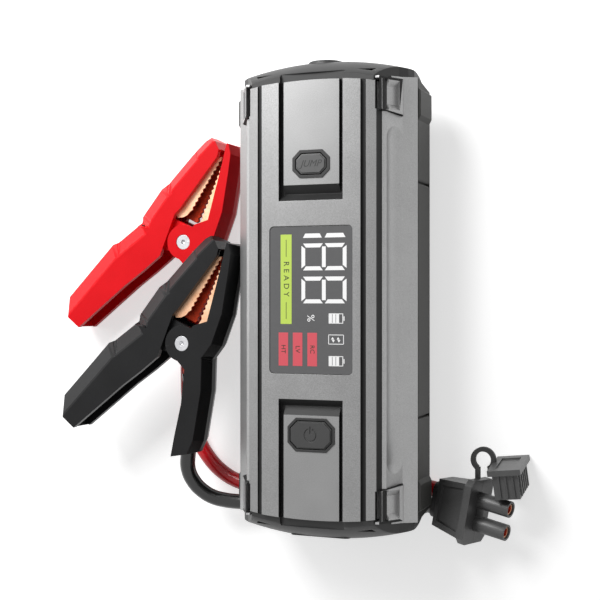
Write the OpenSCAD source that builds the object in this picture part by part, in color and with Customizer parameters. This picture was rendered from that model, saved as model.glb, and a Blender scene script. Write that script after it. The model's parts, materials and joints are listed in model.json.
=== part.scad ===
// Jump starter pack with its lead set, lying face up on a table.
// The pack's long axis is Y, its width X, and it rests on z = 0 with the origin under its middle.

/* [Pack] */
// Width of the pack across its side pads
pack_w = 100; // [96:1:106]
// Length of the metal-finish front shell
shell_l = 228; // [222:1:236]
// Overall height of the pack from the table to its face
pack_h = 60; // [58:0.5:64]
// Height of the parting line between the two shells
part_z = 36.5; // [35:0.5:38]
// Length over the torch bezel and the port frame
overall_l = 250; // [246:1:262]
// Wall of both shells
wall = 2.4; // [2:0.1:3]
// Height of the bevel round the back of the pack
back_bevel_h = 14; // [12:0.5:15]
// Width of the flat base
base_w = 74; // [70:1:78]
// Length of the flat base
base_l = 172; // [166:1:176]
// Gap between neighbouring moulded pieces
seam = 0.2; // [0.1:0.05:0.3]

/* [Face] */
// Half spacing of the two long grooves
groove_x = 28.3; // [27:0.1:29]
// Width of each long groove
groove_w = 2.6; // [1.5:0.1:3]
// Depth of each long groove
groove_d = 1.2; // [0.6:0.1:1.6]
// Width of the display window
screen_w = 45; // [42:0.5:46]
// Length of the display window
screen_l = 75.4; // [70:0.2:80]
// Thickness of the display window
window_t = 1.4; // [1:0.1:1.6]
// Width of the sunk bay that holds a button
bay_w = 35; // [33:0.5:36]
// Distance from the middle of the pack to the inner end of a bay
bay_start = 50.8; // [48:0.2:54]
// Depth of the panel in a bay below the face
panel_drop = 1.2; // [0.8:0.1:1.6]
// Width of the raised panel in a bay
panel_w = 30.4; // [28:0.2:31]
// Width of the start button over its frame
jump_w = 20.4; // [18:0.2:22]
// Length of the start button over its frame
jump_l = 14.4; // [12:0.2:16]
// Place of the start button from the middle of the pack
jump_y = 69.5; // [68:0.5:74]
// Width of the power button over its frame
power_w = 25.8; // [22:0.2:26]
// Length of the power button over its frame
power_l = 17.4; // [14:0.2:18]
// Place of the power button from the middle of the pack
power_y = 69; // [69:0.5:74]
// Travel of both buttons
press = 0.7; // [0.4:0.1:0.8]
// Gap round each button
button_gap = 0.4; // [0.3:0.05:0.5]
// Width of the frame round the start button
jump_frame = 1.6; // [1.2:0.1:2]
// Width of the frame round the power button
power_frame = 1.3; // [1:0.1:1.8]

/* [Sides and ends] */
// Half width at which the smooth shoulder meets its outer strip
strip_x = 43.6; // [43:0.1:44]
// Radius of the finger cove along each shoulder
cove_r = 10.6; // [10:0.1:11]
// Length of each finger cove between its end centres
cove_l = 164; // [150:1:166]
// Length of a corner bumper
bumper_l = 20.5; // [18:0.5:22]
// How far the side pads' thick ends stand out of the side
bumper_out = 1.3; // [0.8:0.1:1.6]
// Thickness of a side pad
pad_t = 2; // [1.6:0.1:2.2]
// Distance of the pads' V gaps from the middle of the pack
pad_split = 60.6; // [56:0.2:64]
// Radius of the front shell's ends in plan
end_r = 240; // [200:5:280]
// Radius of the end caps in plan
dome_plan_r = 170; // [150:5:200]
// Radius of the end caps seen from the side
dome_side_r = 31; // [30:0.5:34]
// Radius of the torch bezel
torch_r = 10.3; // [9:0.1:11]
// Width of the port cover
cover_w = 26; // [25:0.2:27]
// Height of the port cover
cover_h = 24; // [23:0.2:25]
// Thickness of the port cover
cover_t = 3.2; // [2.8:0.1:3.6]

/* [Connector] */
// Distance between the two contacts of the plug and of the socket
contact_pitch = 12.2; // [12:0.1:12.6]
// Outer radius of a plug tube
tube_r = 4.3; // [4.1:0.1:4.5]
// Length of a plug tube
tube_l = 18; // [16:0.5:18.5]
// Bore radius of a contact
contact_bore_r = 2.5; // [2:0.1:2.8]
// Width of the plug housing at its rear
plug_rear_w = 25; // [24:0.5:26]
// Width of the plug flange
plug_front_w = 34; // [33:0.2:34.4]
// Height of the plug housing at its rear
plug_rear_h = 14; // [13.6:0.2:15]
// Height of the plug flange
flange_h = 24; // [22:0.5:24.5]
// Length of the plug housing behind its flange
plug_l = 18; // [17.5:0.5:19]
// Thickness of the plug flange
flange_t = 4; // [3:0.5:5]
// Angle of the plug to the pack's width
plug_turn = -10; // [-11:1:-7]

/* [Clamps] */
// Thickness of a clamp over its cheeks
clamp_t = 20; // [20:0.5:22]
// Thickness of a moulded cheek
cheek_t = 3.1; // [2.8:0.1:3.3]
// Radius of the pivot boss
boss_r = 10; // [9:0.2:10]
// Radius of the pivot rivet
rivet_r = 3; // [2.6:0.1:3.2]
// Radial clearance of the moving ears on the rivet
pivot_clear = 0.05; // [0.02:0.01:0.09]
// Thickness of the copper jaw sheet
copper_t = 1.2; // [1:0.1:1.4]
// Pitch of the copper teeth
tooth_pitch = 3; // [2.4:0.1:4]
// Wire diameter of the return spring
wire_d = 1.3; // [1.1:0.1:1.4]
// Diameter of each lead
lead_d = 8.5; // [8:0.1:8.6]

/* [Hidden] */
$fn = 48;
eps = 0.05;
half_w = pack_w / 2;
half_l = shell_l / 2;
half_overall = overall_l / 2;
cap_out = half_overall - half_l;
half_base_w = base_w / 2;
half_base_l = base_l / 2;
face_draft = 1.5;
back_draft = 4;
panel_z = pack_h - panel_drop;
inner_z = pack_h - wall;
black = "#262626";
silver = "#b9b9b9";
graphite = "#4c4c4a";
copper = "#d98a5b";
steel = "#c9c9cc";

// Outline across the front shell, right half from the parting line to the face.
ridge_z = pack_h - 6.8;
shoulder = [
    [half_w, part_z],
    [strip_x, part_z + 5.9],
    [half_w - 11.6, ridge_z],
    [half_w - 13.6, ridge_z + 0.8],
    [half_w - 15.2, pack_h - 1.7],
    [groove_x + groove_w / 2, pack_h - 0.8]
];
front_outline = concat(
    shoulder,
    [[groove_x - groove_w / 2, pack_h], [-groove_x + groove_w / 2, pack_h]],
    [for (i = [len(shoulder) - 1 : -1 : 0]) [-shoulder[i].x, shoulder[i].y]]
);
// The same outline one wall further in, with straight shoulders.
front_cavity = [
    [half_w - wall - 1, part_z - 1],
    [half_w - wall - 1, part_z],
    [strip_x - wall - 1.6, part_z + 5.9],
    [half_w - 18.2, inner_z - 2.2],
    [18, inner_z - 2.2],
    [-18, inner_z - 2.2],
    [-half_w + 18.2, inner_z - 2.2],
    [-strip_x + wall + 1.6, part_z + 5.9],
    [-half_w + wall + 1, part_z],
    [-half_w + wall + 1, part_z - 1]
];
back_outline = [
    [half_w, part_z],
    [half_w, back_bevel_h],
    [half_base_w, 0],
    [-half_base_w, 0],
    [-half_w, back_bevel_h],
    [-half_w, part_z]
];
back_cavity = [
    [half_w - pad_t - wall, part_z + 1],
    [half_w - pad_t - wall, back_bevel_h + 1.5],
    [half_base_w - 1.5, wall],
    [-half_base_w + 1.5, wall],
    [-half_w + pad_t + wall, back_bevel_h + 1.5],
    [-half_w + pad_t + wall, part_z + 1]
];
front_side = [
    [-half_l, part_z], [half_l, part_z],
    [half_l - face_draft, pack_h + 1], [-half_l + face_draft, pack_h + 1]
];
back_side = [
    [-half_base_l, 0], [half_base_l, 0],
    [half_l - back_draft, back_bevel_h], [half_l, part_z],
    [-half_l, part_z], [-half_l + back_draft, back_bevel_h]
];

module along_y(length) {
    rotate([90, 0, 0])
        linear_extrude(length, center = true)
            children();
}

// An outline drawn in (y, z), extruded along the pack's width.
module along_x(length) {
    rotate([90, 0, 90])
        linear_extrude(length, center = true)
            children();
}

// Disc whose edge is the arched end of the front shell on one side.
module end_disc(side, reach) {
    translate([0, side * (half_l - face_draft - end_r), 0])
        cylinder(h = pack_h + 5, r = end_r + reach, $fn = 180);
}

// The front shell's outside: its ends are arched between the two shoulders.
module front_block(reach = 0) {
    intersection() {
        along_y(shell_l + 2)
            polygon(front_outline);
        along_x(pack_w + 10)
            polygon(front_side);
        union() {
            intersection() {
                end_disc(1, reach);
                end_disc(-1, reach);
            }
            mirror_x()
                translate([strip_x - 3.6, -half_l, 0])
                    cube([half_w, shell_l, pack_h + 5]);
        }
    }
}

module back_block() {
    intersection() {
        along_y(shell_l + 2)
            polygon(back_outline);
        along_x(pack_w + 10)
            polygon(back_side);
    }
}

// A rectangle in plan with its four corners cut off.
module octagon(w, l, cut) {
    polygon([
        [w / 2, -l / 2 + cut], [w / 2, l / 2 - cut],
        [w / 2 - cut, l / 2], [-w / 2 + cut, l / 2],
        [-w / 2, l / 2 - cut], [-w / 2, -l / 2 + cut],
        [-w / 2 + cut, -l / 2], [w / 2 - cut, -l / 2]
    ]);
}

module rounded(w, l, r) {
    hull()
        for (x = [-1, 1], y = [-1, 1])
            translate([x * (w / 2 - r), y * (l / 2 - r)])
                circle(r, $fn = 32);
}

module mirror_x() {
    children();
    mirror([1, 0, 0])
        children();
}

module mirror_y() {
    children();
    mirror([0, 1, 0])
        children();
}

/* ---- front shell ---- */

// A bay is a sunk trough that runs out of the end of the shell, with a raised panel in it.
bay_floor = panel_z - 2.6;
panel_slope = 4.5;
bay_rim = 3.7;

module bay_cut() {
    rise = pack_h - bay_floor;
    run = bay_rim - 0.3;
    along_x(bay_w)
        polygon([
            [bay_start - run, pack_h + rise],
            [bay_start + run, bay_floor],
            [half_overall, bay_floor],
            [half_overall, pack_h + rise]
        ]);
}

module bay_panel() {
    panel_start = bay_start + bay_rim;
    intersection() {
        translate([-panel_w / 2, 0, 0])
            cube([panel_w, half_l, pack_h]);
        along_x(panel_w)
            polygon([
                [panel_start, bay_floor - 0.5],
                [panel_start, bay_floor],
                [panel_start + panel_slope, panel_z],
                [half_l - face_draft, panel_z],
                [half_l - face_draft, bay_floor - 0.5]
            ]);
    }
}

// The deck under a bay, which is thicker than the face because the bay is sunk into it.
module bay_deck() {
    translate([-bay_w / 2 - wall, bay_start - wall, bay_floor - wall])
        cube([bay_w + 2 * wall, half_l - bay_start - face_draft + wall - 1, wall + 1]);
}

jump_cut = 4;
power_cut = 4.6;
// Width of the lip by which a key's frame rests on the panel.
frame_lip = 0.5;
lip_room = 2 * (frame_lip - seam);

cove_x = half_w - 1;
cove_z = part_z + 15;

module cove_cut() {
    translate([cove_x, 0, cove_z]) {
        rotate([90, 0, 0])
            cylinder(h = cove_l, r = cove_r, center = true);
        for (s = [-1, 1])
            translate([0, s * cove_l / 2, 0])
                sphere(cove_r);
    }
}

// A bumper bridges the channel between the face and the side strip.
bumper_top = [strip_x - 7.2, pack_h - 1.2];
bumper_low = [strip_x + 1, part_z + 8.4];
bumper_outline = [
    bumper_top,
    bumper_low,
    [strip_x + 0.6, part_z + 6.2],
    [strip_x - 1.8, part_z + 5.2],
    [bumper_top.x - 2, bumper_top.y - 3.3],
    [bumper_top.x - 2, bumper_top.y]
];
bumper_start = half_l - bumper_l - 1;
bumper_end = half_l - face_draft - 0.4;
bumper_y = (bumper_start + bumper_end) / 2 + 1;
bumper_tilt = atan2(bumper_low.x - bumper_top.x, bumper_top.y - bumper_low.y);
fin_x = strip_x - 6.2;
fin_w = 1.8;
slot_w = 1.4;
slot_l = bumper_l - 5;
pocket_w = 7;
pocket_l = 15;
pocket_d = 2.2;
pocket_ramp = 3;

module bumper_block(grow) {
    intersection() {
        translate([0, (bumper_start + bumper_end) / 2, 0])
            along_y(bumper_end - bumper_start + 2 * grow)
                offset(delta = grow)
                    polygon(bumper_outline);
        along_x(3 * pack_w)
            polygon([
                [bumper_start - grow, part_z - 2],
                [bumper_start - grow + 4, pack_h + 2],
                [half_l, pack_h + 2],
                [half_l, part_z - 2]
            ]);
    }
}

lug_x = half_w - 20;
lug_y = half_l - 22;
lug_r = 4;
screw_r = 1.6;
screw_grip = 13;
post_x = half_w - 19;
post_y = half_l - 54;
board_t = 1.6;
switch_h = 4.5;
skirt_t = 1.6;
skirt_gap = 0.1;
skirt_top = bay_floor - wall - skirt_gap;
switch_top = skirt_top - skirt_t - press - 0.3;
board_z = switch_top - switch_h - board_t;
ledge = 2;

module front_shell() {
    color(silver)
    difference() {
        union() {
            difference() {
                front_block();
                along_y(shell_l + 4)
                    polygon(front_cavity);
                mirror_x()
                    cove_cut();
                mirror_x()
                    translate([groove_x, 0, pack_h])
                        cube([groove_w, shell_l + 4, 2 * groove_d + 1.2], center = true);
            }
            intersection() {
                front_block();
                union() {
                    mirror_y()
                        bay_deck();
                    translate([-screen_w / 2 - 2, -screen_l / 2 - 2, inner_z - 2.2])
                        cube([screen_w + 4, screen_l + 4, 3]);
                    for (x = [-1, 1], y = [-1, 1])
                        translate([x * lug_x, y * lug_y, part_z + seam])
                            cylinder(h = inner_z - part_z - 1, r = lug_r);
                    for (x = [-1, 1], y = [-1, 1])
                        translate([x * post_x, y * post_y, board_z + board_t])
                            cylinder(h = inner_z - 2 - board_z - board_t, r = 2.4);
                    // Solid shoulders behind the finger coves and under the bumpers.
                    mirror_x()
                        along_y(shell_l)
                            polygon([
                                [half_w - 18.2, inner_z],
                                [half_w - 18.2, inner_z - 5],
                                [strip_x - wall - 4.4, part_z + 5],
                                [half_w - 1, part_z],
                                [half_w, part_z],
                                [strip_x, part_z + 5.9]
                            ]);
                }
            }
        }
        mirror_y()
            difference() {
                bay_cut();
                bay_panel();
            }
        mirror_x()
            cove_cut();
        mirror_x()
            mirror_y()
                bumper_block(seam);
        translate([0, 0, pack_h - window_t - 0.4])
            linear_extrude(5)
                rounded(screen_w + 2 * seam, screen_l + 2 * seam, 2.4);
        cube([screen_w - 2 * ledge, screen_l - 2 * ledge, 3 * pack_h], center = true);
        translate([0, jump_y, part_z])
            linear_extrude(pack_h)
                octagon(jump_w - lip_room, jump_l - lip_room, jump_cut);
        translate([0, -power_y, part_z])
            linear_extrude(pack_h)
                octagon(power_w - lip_room, power_l - lip_room, power_cut);
        for (x = [-1, 1], y = [-1, 1])
            translate([x * lug_x, y * lug_y, part_z - 1])
                cylinder(h = screw_grip + 1, r = screw_r + 0.1);
    }
}

module corner_bumper(sx, sy) {
    color(silver)
    scale([sx, sy, 1])
        difference() {
            bumper_block(0);
            // Slots on both sides of a fin, and a fine line along its crest.
            translate([fin_x - fin_w / 2 - 4, bumper_y - slot_l / 2, ridge_z])
                cube([4, slot_l, pack_h]);
            translate([fin_x + fin_w / 2, bumper_y - slot_l / 2, ridge_z - slot_w])
                cube([slot_w, slot_l, pack_h]);
            translate([fin_x, bumper_y, pack_h])
                cube([0.4, slot_l, 7.4], center = true);
            // Sunk grip pocket with sloping ends.
            translate([(bumper_top.x + bumper_low.x) / 2 + 1.2, bumper_y, 0])
                translate([0, 0, (bumper_top.y + bumper_low.y) / 2 - 1.2 / tan(bumper_tilt)])
                    rotate([0, 90 - bumper_tilt, 0])
                        along_x(pocket_w)
                            polygon([
                                [-pocket_l / 2 - pocket_ramp, pocket_d],
                                [-pocket_l / 2 + pocket_ramp, -pocket_d],
                                [pocket_l / 2 - pocket_ramp, -pocket_d],
                                [pocket_l / 2 + pocket_ramp, pocket_d]
                            ]);
        }
}

/* ---- back shell, pads and feet ---- */

foot_r = 6;
foot_t = 1.6;
foot_sunk = 1.2;
foot_x = half_base_w - 10;
foot_y = half_base_l - 14;
head_r = 3;
head_h = 1.8;

// The side pads sit in a shallow bed in the back shell's sides.
pad_low = back_bevel_h + 0.6;
pad_high = part_z - 0.8;
pad_end = half_l - back_draft - 0.6;

module pad_bed(grow) {
    translate([half_w - pad_t / 2 + 1, 0, (pad_low + pad_high) / 2])
        cube([pad_t + 2, shell_l + 4, pad_high - pad_low + 2 * grow], center = true);
}

module back_shell() {
    color(graphite)
    difference() {
        union() {
            difference() {
                back_block();
                intersection() {
                    along_y(shell_l - 2 * wall)
                        polygon(back_cavity);
                    along_x(pack_w)
                        polygon([
                            [-half_base_l + 2, wall], [half_base_l - 2, wall],
                            [half_l - back_draft - wall - 1, back_bevel_h + 1.5],
                            [half_l - wall, part_z + 2],
                            [-half_l + wall, part_z + 2],
                            [-half_l + back_draft + wall + 1, back_bevel_h + 1.5]
                        ]);
                }
            }
            intersection() {
                back_block();
                for (x = [-1, 1], y = [-1, 1])
                    translate([x * lug_x, y * lug_y, 0])
                        cylinder(h = part_z, r = lug_r);
            }
        }
        mirror_x()
            pad_bed(seam);
        for (x = [-1, 1], y = [-1, 1]) {
            translate([x * lug_x, y * lug_y, -1])
                cylinder(h = pack_h, r = screw_r + 0.2);
            translate([x * lug_x, y * lug_y, -1])
                cylinder(h = screw_seat + 1, r = head_r + 0.3);
            translate([x * foot_x, y * foot_y, -1])
                cylinder(h = foot_sunk + 1, r = foot_r + seam);
        }
        // Room for the torch and the socket behind the end caps.
        translate([0, half_l, part_z])
            rotate([90, 0, 0])
                cylinder(h = 6 * wall, r = torch_r + 1.2, center = true);
        translate([0, -half_l, part_z])
            cube([socket_w + 3, 6 * wall, 2 * (part_z - socket_low + 1)], center = true);
    }
}

screw_seat = 8;

module side_pads() {
    color("#5a5a58")
    difference() {
        intersection() {
            pad_bed(0);
            union() {
                intersection() {
                    back_block();
                    translate([half_w - pad_t + eps, -shell_l, 0])
                        cube([pad_t, 2 * shell_l, pack_h]);
                }
                mirror_y()
                    linear_extrude(pack_h)
                        polygon([
                            [half_w - 1, bumper_start], [half_w, bumper_start],
                            [half_w + bumper_out, bumper_start + 2.5],
                            [half_w + bumper_out, pad_end - 1.5],
                            [half_w - 1, pad_end]
                        ]);
            }
        }
        // V gaps that part each side into three pads.
        mirror_y()
            translate([half_w + 0.4, pad_split, 0])
                rotate([0, 0, 45])
                    cube([2.2, 2.2, 3 * pack_h], center = true);
        mirror_y()
            translate([half_w, pad_split, 0])
                cube([3 * pad_t, 0.8, 3 * pack_h], center = true);
    }
}

module rubber_feet() {
    color("#1c1c1c")
    for (x = [-1, 1], y = [-1, 1])
        translate([x * foot_x, y * foot_y, 0])
            cylinder(h = foot_sunk, r = foot_r);
}

module rear_screws() {
    color(steel)
    for (x = [-1, 1], y = [-1, 1])
        translate([x * lug_x, y * lug_y, screw_seat - head_h]) {
            difference() {
                cylinder(h = head_h, r = head_r);
                translate([0, 0, -eps])
                    cylinder(h = 1, r = 1.3, $fn = 6);
            }
            translate([0, 0, head_h - eps])
                cylinder(h = part_z + screw_grip - 2 - screw_seat, r = screw_r);
        }
}

/* ---- end caps ---- */

dome_top = half_overall - 0.2;

module dome() {
    intersection() {
        // A barrel turned about an upright axis, so that the cap is curved both ways.
        translate([0, dome_top - dome_plan_r, part_z])
            rotate_extrude($fn = 180) {
                translate([dome_plan_r - dome_side_r, 0])
                    circle(dome_side_r, $fn = 120);
                translate([0, -dome_side_r])
                    square([dome_plan_r - dome_side_r, 2 * dome_side_r]);
            }
        translate([0, half_l, 0])
            along_y(40)
                polygon([
                    [half_w - 2.2, part_z - 1], [half_w - 2.2, back_bevel_h + 4],
                    [half_w - 6, back_bevel_h], [-half_w + 6, back_bevel_h],
                    [-half_w + 2.2, back_bevel_h + 4], [-half_w + 2.2, part_z - 1],
                    [-half_w + 4.2, part_z + 3.2], [-strip_x + 1.4, part_z + 7],
                    [-groove_x - 5, pack_h - 1.8], [groove_x + 5, pack_h - 1.8],
                    [strip_x - 1.4, part_z + 7], [half_w - 4.2, part_z + 3.2]
                ]);
        translate([-pack_w, half_l - 6, 0])
            cube([2 * pack_w, 2 * cap_out + 6, pack_h]);
    }
}

module cap_blank() {
    difference() {
        dome();
        front_block(seam);
        back_block();
        mirror_x()
            bumper_block(seam);
        intersection() {
            translate([0, half_l, 0])
                along_y(2 * wall + 5)
                    polygon([
                        [half_w - 6, part_z], [half_w - 6, back_bevel_h + 6],
                        [-half_w + 6, back_bevel_h + 6], [-half_w + 6, part_z],
                        [-groove_x - 3, pack_h - 5], [groove_x + 3, pack_h - 5]
                    ]);
            translate([-pack_w, half_l - 8, 0])
                cube([2 * pack_w, 11, pack_h]);
        }
        // The sunk bay runs out over the cap.
        translate([-bay_w / 2, 0, bay_floor + 0.2])
            cube([bay_w, half_l + 2.5, pack_h]);
    }
}

module top_cap() {
    color(black)
    difference() {
        cap_blank();
        translate([0, half_l, part_z])
            rotate([90, 0, 0])
                cylinder(h = 60, r = torch_r + seam, center = true);
    }
}

/* ---- torch ---- */

lens_r = torch_r - 1.8;
torch_back = half_l - 14;

module torch_axis(y) {
    translate([0, y, part_z])
        rotate([-90, 0, 0])
            children();
}

module torch_bezel() {
    color("#151515")
    torch_axis(torch_back)
        difference() {
            union() {
                cylinder(h = half_overall - torch_back - 1, r = torch_r);
                cylinder(h = half_overall - torch_back, r = torch_r - 1);
                translate([0, 0, half_l - wall - 4 - torch_back])
                    cylinder(h = 3.6, r = torch_r + 1);
            }
            translate([0, 0, -eps])
                cylinder(h = 60, r = lens_r - 1);
            translate([0, 0, half_overall - torch_back - 3.2])
                cylinder(h = 10, r = lens_r + 0.1);
        }
}

module torch_lens() {
    color("#dfe8ee")
    torch_axis(half_overall - 3.2)
        cylinder(h = 2, r = lens_r);
}

module torch_reflector() {
    color("#d8d8d8")
    torch_axis(half_overall - 12)
        difference() {
            cylinder(h = 8.7, r = lens_r - 1.2);
            translate([0, 0, 0.8])
                cylinder(h = 8, r1 = 1.5, r2 = lens_r - 2);
            translate([0, 0, -eps])
                cylinder(h = 2, r = 1.5);
        }
}

module torch_led() {
    color("#f2e9a0")
    torch_axis(half_overall - 14.4)
        union() {
            cylinder(h = 2.3, r = lens_r - 1.2);
            translate([0, 0, 2.3 - eps])
                cylinder(h = 1, r = 1.3);
        }
}

/* ---- socket and port cover ---- */

socket_w = contact_pitch + 2 * tube_r + 4;
socket_h = 2 * tube_r + 5;
socket_z = part_z - 7.5;
socket_low = socket_z - socket_h / 2;
socket_front = half_overall - 6.2;
frame_w = cover_w + 7;
cover_z = part_z - 4.3;
cover_top = cover_z + cover_h / 2;
cover_front = half_overall - 1.4;
frame_front = half_overall - 2;
hinge_y = cover_front - 1.8;
hinge_z = cover_top + 0.2;
knuckle_r = 1.7;
pin_r = 0.7;
usb_z = socket_z + socket_h / 2 + 3.6;

// All end-on shapes below are drawn looking at the lower end, in (x, z).
module at_low_end(y_out, depth) {
    translate([0, -y_out, 0])
        rotate([90, 0, 0])
            translate([0, 0, -depth])
                linear_extrude(depth)
                    children();
}

module bottom_cap() {
    color(black)
    difference() {
        union() {
            mirror([0, 1, 0])
                cap_blank();
            at_low_end(frame_front, frame_front - half_l - 3)
                translate([0, cover_z + 0.3])
                    rounded(frame_w, cover_h + 6, 3);
        }
        // The cap is flat round the cover, and sunk for it.
        at_low_end(half_overall + 1, half_overall + 1 - frame_front)
            translate([0, cover_z + 0.3])
                square([frame_w, cover_h + 6], center = true);
        at_low_end(half_overall, half_overall - cover_front + cover_t + 0.4)
            translate([0, cover_z])
                square([cover_w + 2 * 0.3, cover_h + 2 * 0.3], center = true);
        at_low_end(frame_front, 30)
            translate([0, socket_z])
                square([socket_w + 2 * seam, socket_h + 2 * seam], center = true);
        at_low_end(frame_front, 30)
            translate([0, usb_z])
                square([9.4, 3.6], center = true);
        translate([0, -hinge_y, hinge_z])
            rotate([0, 90, 0])
                cylinder(h = cover_w + 0.6, r = knuckle_r + 0.3, center = true);
        translate([0, -hinge_y - 2, hinge_z])
            cube([cover_w + 0.6, 4, 2 * knuckle_r + 0.6], center = true);
        // Finger notch under the cover's lip.
        at_low_end(frame_front + 1, 3.4)
            translate([0, cover_z - cover_h / 2 - 1])
                square([12, 4], center = true);
        translate([0, -hinge_y, hinge_z])
            rotate([0, 90, 0])
                cylinder(h = cover_w + 4, r = pin_r, center = true);
    }
}

module port_cover() {
    color("#1d1d1d")
    difference() {
        union() {
            at_low_end(cover_front, cover_t)
                translate([0, cover_z - 0.3])
                    square([cover_w, cover_h - 0.6], center = true);
            translate([0, -hinge_y, hinge_z])
                rotate([0, 90, 0])
                    cylinder(h = cover_w, r = knuckle_r, center = true);
            // Pull lip along the free edge.
            at_low_end(half_overall, half_overall - cover_front + 0.8)
                translate([0, cover_z - cover_h / 2 - 0.6])
                    square([10, 2.4], center = true);
        }
        translate([0, -hinge_y, hinge_z])
            rotate([0, 90, 0])
                cylinder(h = cover_w + 2, r = pin_r + 0.05, center = true);
        // Shallow grip grooves across the outer face.
        for (i = [-3 : 3])
            translate([0, -cover_front, cover_z - 1.4 + 2.6 * i])
                rotate([45, 0, 0])
                    cube([cover_w - 6, 0.9, 0.9], center = true);
    }
}

module cover_pin() {
    color(steel)
    translate([0, -hinge_y, hinge_z])
        rotate([0, 90, 0])
            cylinder(h = cover_w + 3.6, r = pin_r, center = true);
}

module power_socket() {
    color("#2b3550")
    difference() {
        at_low_end(socket_front, 24)
            translate([0, socket_z])
                square([socket_w, socket_h], center = true);
        for (x = [-1, 1])
            translate([x * contact_pitch / 2, -socket_front - 1, socket_z])
                rotate([-90, 0, 0])
                    cylinder(h = tube_l + 3, r = tube_r + 0.3);
        for (x = [-1, 1])
            translate([x * contact_pitch / 2, -socket_front, socket_z])
                rotate([-90, 0, 0])
                    cylinder(h = 30, r = 1.4);
    }
}

module socket_contacts() {
    color("#caa24a")
    for (x = [-1, 1])
        translate([x * contact_pitch / 2, -socket_front + 4, socket_z])
            rotate([-90, 0, 0]) {
                cylinder(h = tube_l - 2, r = contact_bore_r - 0.1);
                translate([0, 0, tube_l - 2 - eps])
                    cylinder(h = 12, r = 1.35);
            }
}

module usb_port() {
    color(steel)
    difference() {
        at_low_end(socket_front, 9)
            translate([0, usb_z])
                square([9, 3.2], center = true);
        at_low_end(socket_front + 1, 8)
            translate([0, usb_z])
                square([8.2, 2.4], center = true);
    }
}

/* ---- display, board and cells ---- */

module screen_window() {
    color("#6f7071")
    translate([0, 0, pack_h - window_t - 0.4])
        linear_extrude(window_t)
            rounded(screen_w, screen_l, 2.2);
}

display_t = 3.4;

module display_module() {
    color("#3c4a3c")
    translate([0, 0, inner_z - 2.2 - display_t / 2])
        cube([screen_w + 2, screen_l + 2, display_t], center = true);
}

module circuit_board() {
    color("#1f5a34")
    difference() {
        translate([0, 0, board_z + board_t / 2])
            cube([2 * post_x + 5.2, base_l - 6, board_t], center = true);
        for (x = [-1, 1], y = [-1, 1])
            translate([x * post_x, y * post_y, board_z - 1])
                cylinder(h = 5, r = 1.3);
    }
}

module tact_switch(y) {
    translate([0, y, board_z + board_t]) {
        translate([0, 0, (switch_h - 1.2) / 2])
            cube([7, 7, switch_h - 1.2], center = true);
        cylinder(h = switch_h, r = 1.7);
    }
}

module button_switches() {
    color("#30343a")
    union() {
        tact_switch(jump_y);
        tact_switch(-power_y);
    }
}

// A key is an octagonal cap with a wider skirt that hooks under its frame.
frame_rise = 0.5;
key_rise = 1.05;
key_bevel = 0.6;

module push_button(w, l, cut, y) {
    translate([0, y, 0])
        difference() {
            union() {
                translate([0, 0, skirt_top - skirt_t])
                    linear_extrude(panel_z + key_rise - key_bevel - skirt_top + skirt_t)
                        octagon(w, l, cut);
                translate([0, 0, panel_z + key_rise - key_bevel - eps])
                    linear_extrude(key_bevel + eps)
                        octagon(w - 2 * key_bevel, l - 2 * key_bevel, cut - key_bevel / 2);
                translate([0, 0, skirt_top - skirt_t])
                    linear_extrude(skirt_t)
                        octagon(w + 2.6, l + 2.6, cut);
            }
            translate([0, 0, panel_z + key_rise - 0.35])
                children();
        }
}

// Collar in the deck that a key slides in. Its lip rests on the panel.
module key_frame(w, l, cut, rim, y) {
    translate([0, y, 0])
        difference() {
            union() {
                translate([0, 0, bay_floor - wall])
                    linear_extrude(panel_z - bay_floor + wall)
                        octagon(w - 2 * frame_lip, l - 2 * frame_lip, cut);
                translate([0, 0, panel_z])
                    linear_extrude(frame_rise)
                        octagon(w, l, cut);
            }
            translate([0, 0, part_z])
                linear_extrude(pack_h)
                    octagon(w - 2 * rim, l - 2 * rim, cut - rim / 2);
        }
}

module key_frames() {
    color("#161616") {
        key_frame(jump_w, jump_l, jump_cut, jump_frame, jump_y);
        key_frame(power_w, power_l, power_cut, power_frame, -power_y);
    }
}

module power_mark() {
    difference() {
        cylinder(h = 2, r = 3.6);
        translate([0, 0, -1])
            cylinder(h = 4, r = 2.8);
        translate([-1.1, 1, -1])
            cube([2.2, 4, 4]);
    }
    translate([-0.4, 0.6, 0])
        cube([0.8, 3.8, 2]);
}

module jump_button() {
    room = 2 * (jump_frame + button_gap);
    color("#4e4e4e")
        push_button(jump_w - room, jump_l - room, jump_cut - room / 4, jump_y);
}

module power_button() {
    room = 2 * (power_frame + button_gap);
    color("#3a3a3a")
        push_button(power_w - room, power_l - room, power_cut - room / 4, -power_y)
            power_mark();
}

cell_w = pack_w - 18;
cell_l = base_l - 14;
cell_t = 6.6;
cell_gap = 0.3;
tray_top = back_bevel_h + 1.6;

module battery_tray() {
    color("#3a3f46")
    difference() {
        translate([0, 0, (wall + tray_top) / 2])
            cube([base_w - 6, cell_l, tray_top - wall], center = true);
        translate([0, 0, (wall + tray_top) / 2 - 1.4])
            cube([base_w - 12, cell_l - 8, tray_top - wall], center = true);
    }
}

module battery_cells() {
    color("#4f6f96")
    for (i = [0 : 2])
        translate([0, 0, tray_top + cell_gap + cell_t / 2 + i * (cell_t + cell_gap)])
            cube([cell_w, cell_l, cell_t], center = true);
}

/* ---- clamps ---- */

// Each clamp is drawn flat round its pivot, with the nose along +Y, and then set down.
half_t = clamp_t / 2;
layer = half_t - cheek_t;
ear_t = 3;
ear_out = layer - 0.1;
spread = 26.6;
red_at = [-93.5, 33, half_t];
black_at = [-84, -24, half_t + clamp_t + 0.3];

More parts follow.
